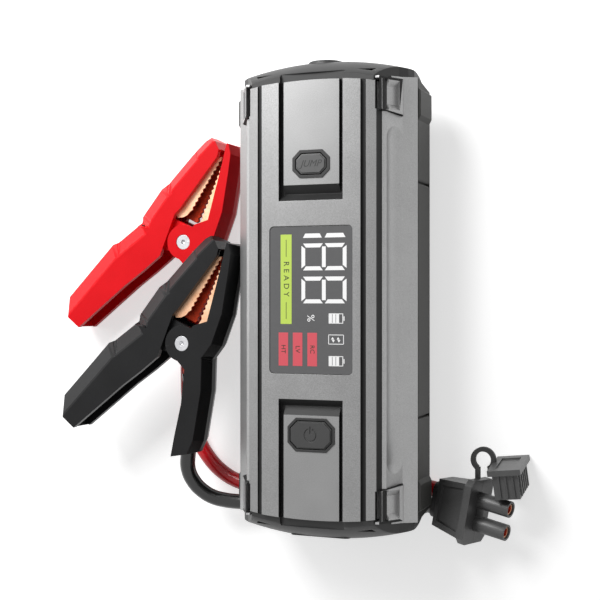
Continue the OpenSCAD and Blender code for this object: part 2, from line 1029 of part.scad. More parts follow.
// Outline of the half that is squeezed: nose, back, handle end, inner edge, jaw.
grip_outline = [
    [-2.2, 52], [-3, 56.5], [-7, 59.6], [-13, 60], [-16, 57], [-20, 47],
    [-27, 25], [-30, 20], [-34, 1], [-33, -3], [-42, -20], [-45, -23],
    [-58, -64], [-49, -73], [-40, -75], [-23, -39], [-16, -26], [-10, -13.5],
    [-11, 0], [-12, 12], [-10.5, 16]
];
// Outline of the half that carries the lead.
base_outline = [
    [2.2, 51], [0.6, 58], [0, 61.6], [4, 62], [8, 57], [11, 48], [17.6, 26],
    [19.4, 8], [17.6, -1], [25, -17], [33, -44], [33, -51], [22, -59],
    [19, -48], [14.7, -30], [8, -12], [0, -9], [0, 0], [2, 12], [8.5, 18]
];
// Back edges that carry a long slanted facet: start, end, run of the facet.
grip_facets = [
    [[-13.6, 63], [-20, 47], 7],
    [[-20, 47], [-27, 25], 8],
    [[-27, 25], [-30, 20], 9],
    [[-30, 20], [-34, 1], 10],
    [[-34, 1], [-33, -3], 10],
    [[-33, -3], [-42, -20], 10],
    [[-42, -20], [-45, -23], 10],
    [[-45, -23], [-61.2, -74.1], 11]
];
base_facets = [
    [[8, 57], [4, 62], 2.4],
    [[11, 48], [8, 57], 3],
    [[17.6, 26], [11, 48], 3],
    [[19.4, 8], [17.6, 26], 3],
    [[17.6, -1], [19.4, 8], 3],
    [[25, -17], [17.6, -1], 3],
    [[33, -44], [25, -17], 3],
    [[33, -51], [33, -44], 3]
];

facet_over = 1.6;

// Cuts one slanted facet along an edge, on both faces of the clamp.
module facet_cut(from, to, run) {
    edge = to - from;
    length = norm(edge);
    turn = atan2(edge.y, edge.x);
    for (s = [-1, 1])
        translate([from.x, from.y, 0])
            rotate([0, 0, turn])
                rotate([90, 0, 90])
                    translate([0, 0, -facet_over])
                        linear_extrude(length + 2 * facet_over)
                        polygon([
                            [-1, s * 2], [0, s * 2],
                            [run, s * (half_t + eps)],
                            [run, s * (half_t + 2)], [-1, s * (half_t + 2)]
                        ]);
}

module grip_shell() {
    difference() {
        linear_extrude(clamp_t, center = true)
            polygon(grip_outline);
        for (f = grip_facets)
            facet_cut(f[0], f[1], f[2]);
        // The half is a channel that opens towards the other half.
        linear_extrude(2 * layer, center = true)
            intersection() {
                polygon(grip_outline);
                translate([10, -3.4])
                    polygon(grip_outline);
            }
        // Room for the fixed half's bosses.
        cylinder(h = 3 * clamp_t, r = boss_r + 0.4, center = true);
    }
    for (s = [-1, 1])
        difference() {
            translate([0, 0, s * (ear_out - ear_t / 2)])
                linear_extrude(ear_t, center = true)
                    union() {
                        circle(boss_r - 0.6);
                        polygon([[0, -6], [0, 9.4], [-20, 9], [-24, 2], [-16, -12]]);
                    }
            cylinder(h = 3 * clamp_t, r = rivet_r + pivot_clear, center = true);
        }
    for (s = [-1, 1])
        translate([0, 0, s * (ear_out + 0.2)])
            linear_extrude(0.6, center = true)
                polygon([[-13, 9], [-20, 9], [-24, 2], [-16, -8], [-12, -8]]);
}

module base_shell() {
    difference() {
        union() {
            linear_extrude(clamp_t, center = true)
                polygon(base_outline);
            cylinder(h = clamp_t, r = boss_r, center = true);
        }
        for (f = base_facets)
            facet_cut(f[0], f[1], f[2]);
        linear_extrude(2 * layer, center = true)
            union() {
                intersection() {
                    polygon(base_outline);
                    translate([-4.4, -1.5])
                        polygon(base_outline);
                }
                translate([-12, -12])
                    square([22, 26]);
                // The lead leaves through the end of the channel.
                polygon([[15, -40], [28.2, -40], [30.4, -50], [30.4, -64], [15, -64]]);
            }
        cylinder(h = 3 * clamp_t, r = rivet_r, center = true);
        for (s = [-1, 1])
            translate([0, 0, s * half_t])
                cylinder(h = 2.4, r = rivet_r + 1.3, center = true);
    }
}

// Copper jaw: two rims beside the bite and a toothed plate between them.
module copper_half(rim, bite) {
    for (s = [-1, 1])
        translate([0, 0, s * (layer - 0.3 - copper_t / 2)])
            linear_extrude(copper_t, center = true)
                polygon(rim);
    linear_extrude(2 * copper_t, center = true)
        polygon(bite);
}

// Teeth along a straight bite line, from the nose down, pointing to the side given.
function teeth(x_nose, y_nose, x_heel, y_heel, deep) = [
    let (count = floor((y_nose - y_heel) / tooth_pitch))
    for (i = [0 : count], k = [0, 1])
        let (u = (i + 0.5 * k) / (count + 0.5))
            [x_nose + u * (x_heel - x_nose) + deep * k, y_nose + u * (y_heel - y_nose)]
];

module grip_jaw() {
    copper_half(
        concat(
            [[-1, 53]],
            teeth(-0.6, 51, -4.4, 17, -0.9),
            [[-6, 14.4], [-8, 12], [-11, 10.4], [-15, 14], [-14, 24], [-6, 50]]
        ),
        concat([[-1, 53]], teeth(-0.5, 51, -0.5, 12, -1), [[-15, 12], [-15, 14], [-14, 24], [-6, 50]])
    );
    linear_extrude(2 * (layer - 0.3), center = true)
        polygon([[-15, 12], [-15, 14], [-14, 24], [-6, 50], [-5, 50], [-12.8, 24], [-13.8, 12]]);
}

module base_jaw() {
    copper_half(
        concat(
            [[12.2, 24], [6.4, 46], [1.4, 54], [1, 53]],
            teeth(0.8, 51, 2.8, 17, 0.9),
            [[3.2, 14], [4.6, 11.6], [6.6, 10.5], [10.4, 10.5], [13, 14]]
        ),
        concat(
            [[12.2, 24], [6.4, 46], [1.4, 54], [0.6, 53]],
            teeth(0.6, 51, 0.6, 12, 1),
            [[10.4, 12], [13, 14]]
        )
    );
    linear_extrude(2 * (layer - 0.3), center = true)
        polygon([[12.2, 24], [6.4, 46], [5.2, 46], [11, 24], [11.8, 12], [13, 12]]);
    // Tail that runs down past the spring to the crimp on the lead.
    linear_extrude(2 * copper_t, center = true)
        polygon([[9.6, 14], [12.6, 14], [12.6, -2], [8.4, -12.4], [4.6, -11], [9.6, -1]]);
    lead_crimp();
}

crimp_l = 7;
crimp_r = 3.6;

module lead_crimp() {
    start = lead_in_handle[0];
    along = lead_in_handle[1] - start;
    translate(start)
        rotate([90, 0, atan2(along.y, along.x) - 90])
            cylinder(h = crimp_l, r = crimp_r);
}

module pivot_rivet() {
    difference() {
        union() {
            cylinder(h = clamp_t - 0.4, r = rivet_r, center = true);
            for (s = [-1, 1])
                translate([0, 0, s * (half_t - 0.7)])
                    cylinder(h = 1, r = rivet_r + 1.2, center = true);
        }
        for (s = [-1, 1])
            translate([0, 0, s * half_t])
                sphere(1.3);
    }
}

// Torsion spring: a helix round the rivet whose legs leave it straight, one to each half.
coils = 3;
rings = 8;
coil_r = 6;
coil_pitch = wire_d + 0.55;
coil_start = -84;
long_leg = 20;
short_leg = 5;

function coil_point(i) = let (a = coil_start + 360 * i / rings)
    [coil_r * cos(a), coil_r * sin(a), coil_pitch * (i / rings - coils / 2)];

// Points along the straight leg that ends the helix at its start or its end.
function leg_point(i, reach) =
    coil_point(i) + reach * [-sin(coil_start), cos(coil_start), 0];

function spring_path() = concat(
    [for (reach = [-long_leg, -long_leg / 2, -long_leg / 4]) leg_point(0, reach)],
    [for (i = [0 : coils * rings]) coil_point(i)],
    [leg_point(coils * rings, short_leg)]
);

// Least gap between two turns of the wire, measured on points half a turn apart or more.
function spring_gap(p) = min([
    for (i = [0 : len(p) - 1 - rings / 2])
        for (j = [i + rings / 2 : len(p) - 1])
            norm(p[j] - p[i])
]) - wire_d;

echo(spring_least_gap = spring_gap(spring_path()));

function unit(v) = v / norm(v);

// Ring of points round a path point, square to the path, flat side up.
function ring_at(path, i, r, sides) =
    let (
        a = path[max(i - 1, 0)],
        b = path[min(i + 1, len(path) - 1)],
        t = unit(b - a),
        ref = abs(t.z) > 0.9 ? [1, 0, 0] : [0, 0, 1],
        n = unit(cross(ref, t)),
        m = cross(t, n)
    )
    [for (k = [0 : sides - 1])
        let (w = 360 * (k + 0.5) / sides)
        path[i] + r * (cos(w) * n + sin(w) * m)];

module tube(path, r, sides) {
    points = [for (i = [0 : len(path) - 1]) each ring_at(path, i, r, sides)];
    last = len(path) - 1;
    walls = [
        for (i = [0 : last - 1], k = [0 : sides - 1])
            let (
                a = i * sides + k,
                b = i * sides + (k + 1) % sides
            )
            each [[a, b, b + sides], [a, b + sides, a + sides]]
    ];
    ends = concat(
        [for (k = [1 : sides - 2]) [0, k + 1, k]],
        [for (k = [1 : sides - 2]) [last * sides, last * sides + k, last * sides + k + 1]]
    );
    polyhedron(points = points, faces = [for (f = concat(walls, ends)) [f[2], f[1], f[0]]]);
}

module return_spring() {
    tube(spring_path(), wire_d / 2, 6);
}

module put_clamp(at) {
    translate(at)
        rotate([0, 0, -spread])
            children();
}

/* ---- leads ---- */

lead_low = lead_d / 2 + 0.05;
lead_gap = 4.6;
gland_l = 4;
// The plug lies on the lower edges of its rear and its flange, so its nose points up a little.
plug_pitch = atan((flange_h - plug_rear_h) / 2 / plug_l);
plug_at = [54.9, -107, plug_rear_h / 2 * cos(plug_pitch) + 0.02];

// Centre line of a lead inside the handle, in the clamp's own frame.
lead_in_handle = [
    [7.6, -15, 0], [11.2, -20.5, 0], [14.8, -27, -0.3],
    [18.4, -34.5, -0.8], [22, -43, -1.3], [24.6, -50.5, -1.8], [26.2, -57, -2.4]
];

function turned(p, a) = [p.x * cos(a) - p.y * sin(a), p.x * sin(a) + p.y * cos(a), p.z];
function on_clamp(p, at) = at + turned(p, -spread);
function pitched(p, a) = [p.x * cos(a) - p.z * sin(a), p.y, p.x * sin(a) + p.z * cos(a)];
function on_plug(p) = plug_at + turned(pitched(p, plug_pitch), plug_turn);

// Centre lines of the two leads, from the clamp to the gland on the plug.
black_route = concat(
    [for (p = lead_in_handle) on_clamp(p, black_at)],
    [
        [-87, -95, 26], [-85, -102.4, 23], [-81.2, -107.8, 19.8], [-76, -111.6, 16.6],
        [-70, -113.4, 13.8], [-63, -114.2, 11.6], [-55, -114.2, 9.8], [-46, -114.2, 8],
        [-36, -114.2, 6], [-24, -114.2, 4.6], [-10, -114, lead_low],
        [5, -113.8, lead_low], [20, -113.2, lead_low], [32, -112.6, lead_low],
        [40, -112.1, 4.5]
    ],
    [on_plug([-gland_l - 4, -lead_gap, 0]), on_plug([-gland_l, -lead_gap, 0])]
);
red_route = concat(
    [for (p = lead_in_handle) on_clamp(p, red_at)],
    [
        [-97.6, -38, 5.8], [-98.2, -46, 4.6], [-98, -56, lead_low], [-96, -68, lead_low],
        [-91.8, -80, lead_low], [-84.8, -91, lead_low], [-75.4, -99.4, lead_low],
        [-64.6, -104.2, lead_low], [-53, -106, lead_low], [-40, -105.8, lead_low],
        [-22, -105.2, lead_low], [0, -104.8, lead_low], [18, -104.2, lead_low],
        [32, -103.4, lead_low], [41.6, -103.3, 4.5]
    ],
    [on_plug([-gland_l - 4, lead_gap, 0]), on_plug([-gland_l, lead_gap, 0])]
);

module black_lead() {
    color("#1b1b1b")
    tube(black_route, lead_d / 2, 10);
}

module red_lead() {
    color("#b3161c")
    tube(red_route, lead_d / 2, 10);
}

/* ---- plug, cap and strap ---- */

module put_plug() {
    translate(plug_at)
        rotate([0, 0, plug_turn])
            rotate([0, -plug_pitch, 0])
                children();
}

module tube_places(x) {
    for (s = [-1, 1])
        translate([x, s * contact_pitch / 2, 0])
            rotate([0, 90, 0])
                children();
}

module plug_body() {
    intersection() {
        linear_extrude(flange_h, center = true)
            polygon([
                [0, -plug_rear_w / 2], [plug_l, -plug_front_w / 2 + 2.4],
                [plug_l, plug_front_w / 2 - 2.4], [0, plug_rear_w / 2]
            ]);
        rotate([90, 0, 0])
            linear_extrude(plug_front_w, center = true)
                polygon([
                    [0, -plug_rear_h / 2], [plug_l, -flange_h / 2 + 1.6],
                    [plug_l, flange_h / 2 - 1.6], [0, plug_rear_h / 2]
                ]);
    }
    translate([plug_l - eps, 0, 0])
        rotate([0, 90, 0])
            linear_extrude(flange_t)
                octagon(flange_h, plug_front_w, 3);
}

// Sunk panel that follows the slope of a broad face.
module plug_panel() {
    slope = atan((flange_h - 3.2 - plug_rear_h) / 2 / plug_l);
    translate([0, 0, plug_rear_h / 2])
        rotate([0, -slope, 0])
            translate([0, 0, -1])
                linear_extrude(4)
                    polygon([
                        [2.6, -plug_rear_w / 2 + 3], [plug_l - 1.6, -plug_front_w / 2 + 5.4],
                        [plug_l - 1.6, plug_front_w / 2 - 5.4], [2.6, plug_rear_w / 2 - 3]
                    ]);
}

module plug_half(side) {
    intersection() {
        difference() {
            plug_body();
            for (s = [0, 1])
                mirror([0, 0, s])
                    plug_panel();
            // Room for the conductors.
            translate([1.6, -contact_pitch / 2 - tube_r, -plug_rear_h / 2 + 3])
                cube([plug_l - 6, contact_pitch + 2 * tube_r, plug_rear_h - 6]);
            tube_places(plug_l - 8)
                cylinder(h = 40, r = tube_r);
            // Opening for the root of the gland.
            translate([0, 0, 0])
                cube([4, 2 * lead_gap + 5, 5], center = true);
        }
        translate([-5, -plug_front_w, side > 0 ? eps : -flange_h])
            cube([60, 2 * plug_front_w, flange_h - eps]);
    }
}

module plug_top_shell() {
    color("#3a3a3a")
    put_plug()
        plug_half(1);
}

module plug_bottom_shell() {
    color("#333333")
    put_plug()
        plug_half(-1);
}

module plug_tubes() {
    color("#3f3f3f")
    put_plug()
        difference() {
            union() {
                tube_places(plug_l - 8)
                    cylinder(h = 8 + flange_t + tube_l, r = tube_r);
                translate([plug_l + flange_t + 2, 0, 0])
                    cube([4, contact_pitch - tube_r, 4], center = true);
            }
            tube_places(plug_l - 9)
                cylinder(h = 2 * tube_l + plug_l, r = contact_bore_r + 0.6);
        }
}

module plug_bullets() {
    color(copper)
    put_plug()
        difference() {
            tube_places(plug_l - 10)
                cylinder(h = flange_t + tube_l + 9, r = contact_bore_r + 0.6);
            tube_places(plug_l - 4)
                cylinder(h = 2 * tube_l + plug_l, r = contact_bore_r - 0.3);
        }
}

module plug_gland() {
    color("#202020")
    put_plug()
        difference() {
            union() {
                translate([-gland_l, 0, 0])
                    rotate([0, 90, 0])
                        linear_extrude(gland_l - 0.01)
                            rounded(lead_d + 1.6, 2 * lead_gap + lead_d + 1.6, 4);
                translate([0.8, 0, 0])
                    cube([1.8, 2 * lead_gap + 4.6, 4.6], center = true);
            }
            for (s = [-1, 1])
                translate([-gland_l - 1, s * lead_gap, 0])
                    rotate([0, 90, 0])
                        cylinder(h = 1, r = lead_d / 2 + 0.3);
        }
}

cap_l = 16;
cap_w = 13;
cap_h = contact_pitch + 2 * tube_r + 3.2;
cap_rim = 2;
cap_rim_t = 3;
cap_pitch = atan(cap_rim / (cap_l - cap_rim_t));
cap_at = [93.6, -99.8, cap_h / 2 * cos(cap_pitch) + 0.02];
cap_turn = 96;

// The dust cap lies on its side, its two bores facing the plug's tubes.
module dust_cap() {
    color("#303030")
    translate(cap_at)
        rotate([0, 0, cap_turn])
            rotate([0, -cap_pitch, 0])
                difference() {
                    union() {
                        translate([cap_l / 2, 0, 0])
                            cube([cap_l, cap_w, cap_h], center = true);
                        translate([cap_l - cap_rim_t / 2, 0, 0])
                            cube([cap_rim_t, cap_w + 2 * cap_rim, cap_h + 2 * cap_rim], center = true);
                        for (y = [-1 : 1])
                            translate([cap_l / 2, 3.6 * y, cap_h / 2])
                                cube([cap_l - 2, 1.2, 1.6], center = true);
                        for (s = [-1, 1], z = [-2 : 2])
                            translate([cap_l / 2, s * cap_w / 2, 4.4 * z])
                                cube([cap_l - 2, 1.6, 1.2], center = true);
                    }
                    // Shallow step in the closed end.
                    translate([cap_l, 0, 0])
                        cube([1.6, cap_w - 3, cap_h - 5], center = true);
                    for (s = [-1, 1])
                        translate([-1, 0, s * contact_pitch / 2])
                            rotate([0, 90, 0])
                                cylinder(h = cap_l - 1.6, r = tube_r + 0.2);
                }
}

strap_w = 2.4;
strap_r = 5.4;
strap_at = [78.2, -83.4, 9.6];

// A moulded tether that loops up from the plug's flange and down to the cap's rim.
strap_t = 2.8;
strap_leg_l = 6.2;
strap_leg_r = 6.4;

module cap_strap() {
    color("#1c1c1c")
    translate(strap_at) {
        rotate([0, 0, -60])
            rotate_extrude(angle = 296)
                translate([strap_r, strap_t / 2])
                    square([strap_w, strap_t], center = true);
        translate([-4.2, -4 - strap_leg_l, 0])
            cube([strap_w, strap_leg_l, strap_t]);
        translate([2.4, -5.6, 0])
            cube([strap_leg_r, strap_w, strap_t]);
    }
}

/* ---- all nodes ---- */

front_shell();
back_shell();
corner_bumper(-1, 1);  // bumper_top_left
corner_bumper(1, 1);  // bumper_top_right
corner_bumper(-1, -1);  // bumper_bottom_left
corner_bumper(1, -1);  // bumper_bottom_right
mirror([1, 0, 0]) side_pads();  // side_pads_left
side_pads();  // side_pads_right
rubber_feet();
rear_screws();
top_cap();
bottom_cap();
torch_bezel();
torch_lens();
torch_reflector();
torch_led();
port_cover();
cover_pin();
power_socket();
socket_contacts();
usb_port();
screen_window();
display_module();
jump_button();
power_button();
key_frames();
button_switches();
circuit_board();
battery_tray();
battery_cells();
color("#e8303a") put_clamp(red_at) grip_shell();  // red_grip
color("#e8303a") put_clamp(red_at) base_shell();  // red_base
color(copper) put_clamp(red_at) grip_jaw();  // red_grip_jaw
color(copper) put_clamp(red_at) base_jaw();  // red_base_jaw
color(steel) put_clamp(red_at) pivot_rivet();  // red_rivet
color(steel) put_clamp(red_at) return_spring();  // red_spring
color("#3f3f3f") put_clamp(black_at) grip_shell();  // black_grip
color("#3f3f3f") put_clamp(black_at) base_shell();  // black_base
color(copper) put_clamp(black_at) grip_jaw();  // black_grip_jaw
color(copper) put_clamp(black_at) base_jaw();  // black_base_jaw
color(steel) put_clamp(black_at) pivot_rivet();  // black_rivet
color(steel) put_clamp(black_at) return_spring();  // black_spring
red_lead();
black_lead();
plug_top_shell();
plug_bottom_shell();
plug_tubes();
plug_bullets();
plug_gland();
dust_cap();
cap_strap();
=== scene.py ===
# %% [markdown]
# # A jump starter pack with its clamps and plug
# The CAD model already has every solid part in its real place and size. This lesson dresses it:
# it lays the camera and the leads first, then makes the finishes, softens the moulded parts and
# adds the small printed and lit details that a solid model leaves out.

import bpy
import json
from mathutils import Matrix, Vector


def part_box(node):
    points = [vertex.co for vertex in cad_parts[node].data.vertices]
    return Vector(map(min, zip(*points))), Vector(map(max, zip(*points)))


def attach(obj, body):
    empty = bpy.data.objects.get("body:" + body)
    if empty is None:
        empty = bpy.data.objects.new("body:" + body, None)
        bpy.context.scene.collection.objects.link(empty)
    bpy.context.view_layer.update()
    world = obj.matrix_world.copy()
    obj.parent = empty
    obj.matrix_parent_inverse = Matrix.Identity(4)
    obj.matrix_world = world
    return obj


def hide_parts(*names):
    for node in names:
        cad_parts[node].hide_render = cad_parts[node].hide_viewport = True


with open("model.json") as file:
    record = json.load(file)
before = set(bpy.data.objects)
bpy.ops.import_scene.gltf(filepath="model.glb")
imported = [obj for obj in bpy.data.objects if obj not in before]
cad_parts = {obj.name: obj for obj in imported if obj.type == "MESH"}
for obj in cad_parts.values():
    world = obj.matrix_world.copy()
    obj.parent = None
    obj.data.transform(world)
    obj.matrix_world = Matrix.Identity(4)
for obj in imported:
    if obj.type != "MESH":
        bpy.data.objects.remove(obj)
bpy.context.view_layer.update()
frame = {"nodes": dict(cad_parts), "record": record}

# %% Modules and shorthand
import json
import math

import bmesh
import bpy
from mathutils import Matrix, Vector

scene = bpy.context.scene
nodes = frame["nodes"]
MM = 0.001


def body_of_node(node):
    """The moving body that a CAD node belongs to."""
    bodies = frame["record"]["behaviour"]["bodies"]
    return next(body for body, members in bodies.items() if node in members)


# %% [markdown]
# ## The camera
# The pack is looked down on, a little from its right-hand side. A long lens keeps the pack's
# long edges nearly parallel. The sensor angle comes straight from the framing: half the frame
# is 300 pixels and the focal length is 1187 of them.

# %% Place the camera
LEAN = math.radians(21.83)
CAMERA_AT = (0.2200, 0.0, 0.6232)
HALF_FRAME_PX = 300
FOCAL_PX = 1187

camera_data = bpy.data.cameras.new("studio_camera")
camera_data.angle = 2 * math.atan(HALF_FRAME_PX / FOCAL_PX)
camera = bpy.data.objects.new("studio_camera", camera_data)
camera.location = CAMERA_AT
camera.rotation_euler = (0, LEAN, 0)
scene.collection.objects.link(camera)
scene.camera = camera

# %% [markdown]
# ## The two leads
# Each clamp hangs on a thick silicone lead. A lead is a fixed length of something springy, so
# it is drawn as one smooth curve through listed points: out of the plug's gland, under the
# bevelled end of the pack, round in one wide bend and up into the channel of the clamp's handle.

# %% Routes of the leads in millimetres, the same points as the CAD model's
LEAD_D = 8.5 * MM
SPREAD = math.radians(26.6)
RED_PIVOT = Vector((-93.5, 33, 10))
BLACK_PIVOT = Vector((-84, -24, 30.3))
LEAD_LOW = 4.3
LEAD_APART = 4.6
IN_GLAND = (-8, -4)
IN_HANDLE = [
    (7.6, -15, 0), (11.2, -20.5, 0), (14.8, -27, -0.3),
    (18.4, -34.5, -0.8), (22, -43, -1.3), (24.6, -50.5, -1.8), (26.2, -57, -2.4),
]
BLACK_FREE = [
    (-87, -95, 26), (-85, -102.4, 23), (-81.2, -107.8, 19.8), (-76, -111.6, 16.6),
    (-70, -113.4, 13.8), (-63, -114.2, 11.6), (-55, -114.2, 9.8), (-46, -114.2, 8),
    (-36, -114.2, 6), (-24, -114.2, 4.6), (-10, -114, LEAD_LOW),
    (5, -113.8, LEAD_LOW), (20, -113.2, LEAD_LOW), (32, -112.6, LEAD_LOW),
    (40, -112.1, 4.5),
]
RED_FREE = [
    (-97.6, -38, 5.8), (-98.2, -46, 4.6), (-98, -56, LEAD_LOW), (-96, -68, LEAD_LOW),
    (-91.8, -80, LEAD_LOW), (-84.8, -91, LEAD_LOW), (-75.4, -99.4, LEAD_LOW),
    (-64.6, -104.2, LEAD_LOW), (-53, -106, LEAD_LOW), (-40, -105.8, LEAD_LOW),
    (-22, -105.2, LEAD_LOW), (0, -104.8, LEAD_LOW), (18, -104.2, LEAD_LOW),
    (32, -103.4, LEAD_LOW), (41.6, -103.3, 4.5),
]
PLUG_PITCH = math.atan(5 / 18)
PLUG_TURN = math.radians(-10)
PLUG_AT = Vector((54.9, -107, 7 * math.cos(PLUG_PITCH) + 0.02))
TO_PLUG = (
    Matrix.Translation(PLUG_AT)
    @ Matrix.Rotation(PLUG_TURN, 4, "Z")
    @ Matrix.Rotation(-PLUG_PITCH, 4, "Y")
)


def to_clamp(pivot):
    """Places the clamp's own drawing on the table."""
    return Matrix.Translation(pivot) @ Matrix.Rotation(-SPREAD, 4, "Z")


def route(pivot, free, side):
    """The whole centre line in metres, from the plug's gland to the clamp. side is 1 or -1 and
    says on which side of the gland's middle the lead leaves it."""
    handle = [to_clamp(pivot) @ Vector(p) for p in IN_HANDLE]
    gland = [TO_PLUG @ Vector((x, side * LEAD_APART, 0)) for x in IN_GLAND]
    line = handle + [Vector(p) for p in free] + gland
    return [p * MM for p in reversed(line)]


# %% Draw a lead as a bevelled curve
def lead(name, line):
    """Returns the lead and its length in metres."""
    data = bpy.data.curves.new(name, "CURVE")
    data.dimensions = "3D"
    spline = data.splines.new("BEZIER")
    spline.bezier_points.add(len(line) - 1)
    for knot, place in zip(spline.bezier_points, line):
        knot.co = place
        knot.handle_left_type = "AUTO"
        knot.handle_right_type = "AUTO"
    data.bevel_depth = LEAD_D / 2
    data.bevel_resolution = 8
    data.resolution_u = 10
    data.use_fill_caps = True
    piece = bpy.data.objects.new(name, data)
    scene.collection.objects.link(piece)
    bpy.context.view_layer.update()
    length = spline.calc_length()
    print(name, "is", round(length / MM), "mm long")
    return piece, length


red_line = route(RED_PIVOT, RED_FREE, 1)
black_line = route(BLACK_PIVOT, BLACK_FREE, -1)
red_lead, red_length = lead("red_silicone_lead", red_line)
black_lead, black_length = lead("black_silicone_lead", black_line)

# %% [markdown]
# ## Finishes
# Each finish starts from what the real surface is. One function turns the sRGB colours that
# people read off a screen into the linear ones that a renderer adds up, and one adds a shader
# node with its settings and links. A value that is the same all over goes straight on the
# shader, and only what varies over the surface comes from other nodes.

# %% Colour and node helpers
def linear(colour):
    channels = [int(colour[i : i + 2], 16) / 255 for i in (1, 3, 5)]
    lit = [c / 12.92 if c <= 0.04045 else ((c + 0.055) / 1.055) ** 2.4 for c in channels]
    return lit + [1.0]


def add_node(tree, kind, settings=None, links=None):
    node = tree.nodes.new(kind)
    for name, value in (settings or {}).items():
        if isinstance(name, int) or name in node.inputs:
            node.inputs[name].default_value = value
        else:
            setattr(node, name, value)
    for name, socket in (links or {}).items():
        tree.links.new(socket, node.inputs[name])
    return node


# %% [markdown]
# Nearly every surface here is either moulded or sprayed, and both have the same two scales of
# unevenness: a fine grain that breaks up the shine, and a slow cloudiness in the colour. One
# recipe draws both, with their sizes in millimetres, and each finish sets its own values.

# %% One recipe for grained surfaces
GRAIN_DEPTH = 0.08 * MM


def grained(
    name, light, dark, grain_mm, bump, roughness, cloud_mm=18, speckle=0.4, crown=0.0, **shader
):
    """speckle is the grain's share in the colour, from 0 to 1. crown shades the piece as if it
    fell by crown times x squared, in metres. Equal colours light and dark make an even one.
    Further values go to the shader."""
    material = bpy.data.materials.new(name)
    material.use_nodes = True
    tree = material.node_tree
    surface = tree.nodes["Principled BSDF"]
    place = add_node(tree, "ShaderNodeTexCoord").outputs["Object"]
    grain = add_node(
        tree, "ShaderNodeTexNoise",
        {"Scale": 1 / (grain_mm * MM), "Detail": 2.0, "Roughness": 0.6}, {"Vector": place},
    )
    cloud = add_node(
        tree, "ShaderNodeTexNoise",
        {"Scale": 1 / (cloud_mm * MM), "Detail": 3.0, "Roughness": 0.55}, {"Vector": place},
    )
    both = add_node(
        tree, "ShaderNodeMix", {0: speckle}, {2: cloud.outputs["Fac"], 3: grain.outputs["Fac"]}
    )
    if light == dark:
        surface.inputs["Base Color"].default_value = linear(light)
    else:
        spread = add_node(
            tree, "ShaderNodeMapRange", {"From Min": 0.35, "From Max": 0.65},
            {"Value": both.outputs[0]},
        )
        colour = add_node(
            tree, "ShaderNodeMix", {"data_type": "RGBA", 6: linear(dark), 7: linear(light)},
            {0: spread.outputs["Result"]},
        )
        tree.links.new(colour.outputs[2], surface.inputs["Base Color"])
    shine = add_node(
        tree, "ShaderNodeMapRange",
        {"To Min": roughness[0], "To Max": roughness[1]}, {"Value": cloud.outputs["Fac"]},
    )
    relief = add_node(
        tree, "ShaderNodeBump", {"Strength": bump, "Distance": GRAIN_DEPTH},
        {"Height": grain.outputs["Fac"]},
    )
    if crown:
        across = add_node(tree, "ShaderNodeSeparateXYZ", links={"Vector": place}).outputs["X"]
        height = add_node(
            tree, "ShaderNodeMath", {"operation": "MULTIPLY"}, {0: across, 1: across}
        )
        arched = add_node(
            tree, "ShaderNodeBump", {"Strength": 1.0, "Distance": -crown},
            {"Height": height.outputs["Value"]},
        )
        tree.links.new(arched.outputs["Normal"], relief.inputs["Normal"])
    tree.links.new(shine.outputs["Result"], surface.inputs["Roughness"])
    tree.links.new(relief.outputs["Normal"], surface.inputs["Normal"])
    for socket, value in shader.items():
        surface.inputs[socket.replace("_", " ")].default_value = value
    material.diffuse_color = linear(light)
    return material


# %% [markdown]
# The front shell is ABS sprayed with satin metallic lacquer: aluminium flake in a clear binder.
# It reads as metal, but softly, and a fine speckle shows. The middle of the face is flat in the
# CAD model. A bump alone shades the face as if it were crowned, falling by 1.3 mm at the grooves
# and 2.2 mm at the outer edges, and so spreads the shine from one long edge to the other. The
# back is bare ABS with a spark-eroded texture. The clamp handles are glass-filled nylon.

# %% Lacquer and moulded plastics
lacquer = {"Metallic": 0.8}
face_lacquer = grained(
    "satin_metallic_lacquer", "#9A9A9A", "#828282", 0.35, 0.22, (0.4, 0.48),
    speckle=0.85, crown=1.8, **lacquer
)
# A lighter copy of the face's lacquer for the side strips and the bumpers: painted light.
painted_lighter_lacquer = grained(
    "satin_lacquer_painted_lighter", "#B4B4B4", "#9A9A9A", 0.35, 0.2, (0.4, 0.48), speckle=0.85, **lacquer
)
# Painted shade: a dark finish for the grooves, the shoulders' steep walls, the troughs round the
# key panels and the slopes beside the bumpers' fins.
painted_recess_shade = grained(
    "recess_painted_shade", "#2A2A2A", "#222222", 0.5, 0.3, (0.45, 0.55), Specular_IOR_Level=0.25
)
graphite_abs = grained(
    "moulded_graphite_abs", "#444442", "#3C3C3A", 0.6, 0.5, (0.5, 0.62), Specular_IOR_Level=0.3
)
black_abs = grained("moulded_black_abs", "#222222", "#1B1B1B", 0.6, 0.35, (0.42, 0.52))
plug_abs = grained("moulded_plug_nylon", "#545454", "#484848", 0.7, 0.4, (0.32, 0.42))
key_abs = grained("moulded_key_abs", "#3C3C3C", "#343434", 0.5, 0.35, (0.45, 0.55))
start_key_abs = grained("moulded_start_key_abs", "#5C5C5C", "#525252", 0.5, 0.35, (0.45, 0.55))
red_nylon = grained(
    "gloss_red_nylon", "#E8101B", "#DE0C17", 0.8, 0.08, (0.32, 0.4), Specular_IOR_Level=0.15
)
black_nylon = grained(
    "gloss_black_nylon", "#1D1D1E", "#161617", 0.8, 0.1, (0.3, 0.38), Specular_IOR_Level=0.2
)
red_silicone = grained("red_silicone_jacket", "#E21220", "#D40E1B", 0.5, 0.12, (0.24, 0.3))
black_silicone = grained(
    "black_silicone_jacket", "#191919", "#131313", 0.5, 0.08, (0.16, 0.22), Specular_IOR_Level=0.7
)
soft_rubber = grained("moulded_soft_rubber", "#242424", "#1A1A1A", 0.5, 0.4, (0.5, 0.62))

# %% [markdown]
# The metals: stamped copper jaws with a bright polish, nickel-plated steel for rivets and
# screws, gold-plated contacts, and the vacuum-plated cup behind the torch.

